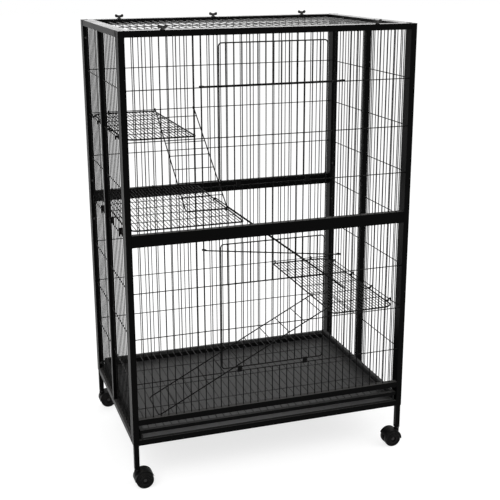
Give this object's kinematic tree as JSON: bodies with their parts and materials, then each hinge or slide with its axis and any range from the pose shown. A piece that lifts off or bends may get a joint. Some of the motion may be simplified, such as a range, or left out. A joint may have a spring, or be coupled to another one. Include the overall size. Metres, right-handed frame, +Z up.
{
  "type": "ferret cage",
  "caption": "Tall wire cage on casters with two drop-down doors, wire shelves joined by hook-on ramps, a slide-out floor grate and a litter tray.",
  "frame": {"origin": "on the floor under the middle of the cage", "axes": "+Z up, doors facing -Y, +X to the right seen from the front"},
  "size_m": [0.947, 0.674, 1.464],
  "materials": {
    "frame_powder_coat": "satin black powder coat on square steel tube",
    "wire_powder_coat": "satin black powder coat on welded steel wire",
    "tray_gloss": "glossy dark grey moulded sheet",
    "caster_nylon": "black moulded nylon",
    "plated_steel": "black-plated steel"
  },
  "bodies": {
    "cage": {"front_upper_frame": "frame_powder_coat", "front_lower_frame": "frame_powder_coat", "back_upper_frame": "frame_powder_coat", "back_lower_frame": "frame_powder_coat", "left_frame": "frame_powder_coat", "right_frame": "frame_powder_coat", "top_frame": "frame_powder_coat", "front_upper_grid_left": "wire_powder_coat", "front_upper_grid_right": "wire_powder_coat", "front_upper_grid_above": "wire_powder_coat", "front_upper_grid_below": "wire_powder_coat", "front_lower_grid_left": "wire_powder_coat", "front_lower_grid_right": "wire_powder_coat", "front_lower_grid_above": "wire_powder_coat", "front_lower_grid_below": "wire_powder_coat", "back_upper_grid": "wire_powder_coat", "back_lower_grid": "wire_powder_coat", "left_grid_front": "wire_powder_coat", "left_grid_rear": "wire_powder_coat", "right_grid_front": "wire_powder_coat", "right_grid_rear": "wire_powder_coat", "top_grid": "wire_powder_coat", "left_runner": "frame_powder_coat", "right_runner": "frame_powder_coat", "upper_shelf": "wire_powder_coat", "middle_shelf": "wire_powder_coat", "lower_shelf": "wire_powder_coat", "front_left_leg": "frame_powder_coat", "front_right_leg": "frame_powder_coat", "back_left_leg": "frame_powder_coat", "back_right_leg": "frame_powder_coat", "caster_stems": "plated_steel", "corner_bolts": "plated_steel", "wing_bolts": "plated_steel"},
    "upper_door": {"upper_door": "wire_powder_coat", "upper_door_hinges": "wire_powder_coat"},
    "lower_door": {"lower_door": "wire_powder_coat", "lower_door_hinges": "wire_powder_coat"},
    "upper_latch": {"upper_latch_rod": "wire_powder_coat"},
    "lower_latch": {"lower_latch_rod": "wire_powder_coat"},
    "tray": {"litter_tray": "tray_gloss"},
    "grate": {"floor_grate": "wire_powder_coat"},
    "upper_ramp": {"upper_ramp": "wire_powder_coat"},
    "middle_ramp": {"middle_ramp": "wire_powder_coat"},
    "lower_ramp": {"lower_ramp": "wire_powder_coat"},
    "front_left_swivel": {"front_left_hood": "caster_nylon", "front_left_axle": "plated_steel"},
    "front_left_wheels": {"front_left_wheels": "caster_nylon"},
    "front_right_swivel": {"front_right_hood": "caster_nylon", "front_right_axle": "plated_steel"},
    "front_right_wheels": {"front_right_wheels": "caster_nylon"},
    "back_left_swivel": {"back_left_hood": "caster_nylon", "back_left_axle": "plated_steel"},
    "back_left_wheels": {"back_left_wheels": "caster_nylon"},
    "back_right_swivel": {"back_right_hood": "caster_nylon", "back_right_axle": "plated_steel"},
    "back_right_wheels": {"back_right_wheels": "caster_nylon"}
  },
  "joints": [
    {"name": "upper_door_hinge", "type": "hinge", "parent": "cage", "child": "upper_door", "pos_m": [0, -0.3155, 0.974], "axis": [1, 0, 0], "range_deg": [0, 145]},
    {"name": "lower_door_hinge", "type": "hinge", "parent": "cage", "child": "lower_door", "pos_m": [0, -0.3155, 0.357], "axis": [1, 0, 0], "range_deg": [0, 110]},
    {"name": "upper_latch_slide", "type": "slide", "parent": "cage", "child": "upper_latch", "axis": [0, 0, 1], "range_m": [0, 0.132]},
    {"name": "lower_latch_slide", "type": "slide", "parent": "cage", "child": "lower_latch", "axis": [0, 0, 1], "range_m": [-0.055, 0.02]},
    {"name": "tray_slide", "type": "slide", "parent": "cage", "child": "tray", "axis": [0, -1, 0], "range_m": [0, 0.55]},
    {"name": "grate_slide", "type": "slide", "parent": "cage", "child": "grate", "axis": [0, -1, 0], "range_m": [0, 0.55]},
    {"name": "upper_ramp_lift", "type": "hinge", "parent": "cage", "child": "upper_ramp", "pos_m": [-0.1513, 0.3155, 1.126], "axis": [-1, 0, 0], "range_deg": [0, 30]},
    {"name": "middle_ramp_lift", "type": "hinge", "parent": "cage", "child": "middle_ramp", "pos_m": [-0.076, -0.0035, 0.839], "axis": [0, -1, 0], "range_deg": [0, 15]},
    {"name": "lower_ramp_lift", "type": "hinge", "parent": "cage", "child": "lower_ramp", "pos_m": [0.225, -0.1715, 0.504], "axis": [0, 1, 0], "range_deg": [0, 20]},
    {"name": "front_left_swivel_turn", "type": "hinge", "parent": "cage", "child": "front_left_swivel", "pos_m": [-0.4635, -0.3155, 0.064], "axis": [0, 0, 1], "continuous": true},
    {"name": "front_left_wheels_roll", "type": "hinge", "parent": "front_left_swivel", "child": "front_left_wheels", "pos_m": [-0.4415, -0.3155, 0.029], "axis": [0, 1, 0], "continuous": true},
    {"name": "front_right_swivel_turn", "type": "hinge", "parent": "cage", "child": "front_right_swivel", "pos_m": [0.4635, -0.3155, 0.064], "axis": [0, 0, 1], "continuous": true},
    {"name": "front_right_wheels_roll", "type": "hinge", "parent": "front_right_swivel", "child": "front_right_wheels", "pos_m": [0.4415, -0.3155, 0.029], "axis": [0, 1, 0], "continuous": true},
    {"name": "back_left_swivel_turn", "type": "hinge", "parent": "cage", "child": "back_left_swivel", "pos_m": [-0.4635, 0.3155, 0.064], "axis": [0, 0, 1], "continuous": true},
    {"name": "back_left_wheels_roll", "type": "hinge", "parent": "back_left_swivel", "child": "back_left_wheels", "pos_m": [-0.4415, 0.3155, 0.029], "axis": [0, 1, 0], "continuous": true},
    {"name": "back_right_swivel_turn", "type": "hinge", "parent": "cage", "child": "back_right_swivel", "pos_m": [0.4635, 0.3155, 0.064], "axis": [0, 0, 1], "continuous": true},
    {"name": "back_right_wheels_roll", "type": "hinge", "parent": "back_right_swivel", "child": "back_right_wheels", "pos_m": [0.4415, 0.3155, 0.029], "axis": [0, 1, 0], "continuous": true}
  ]
}
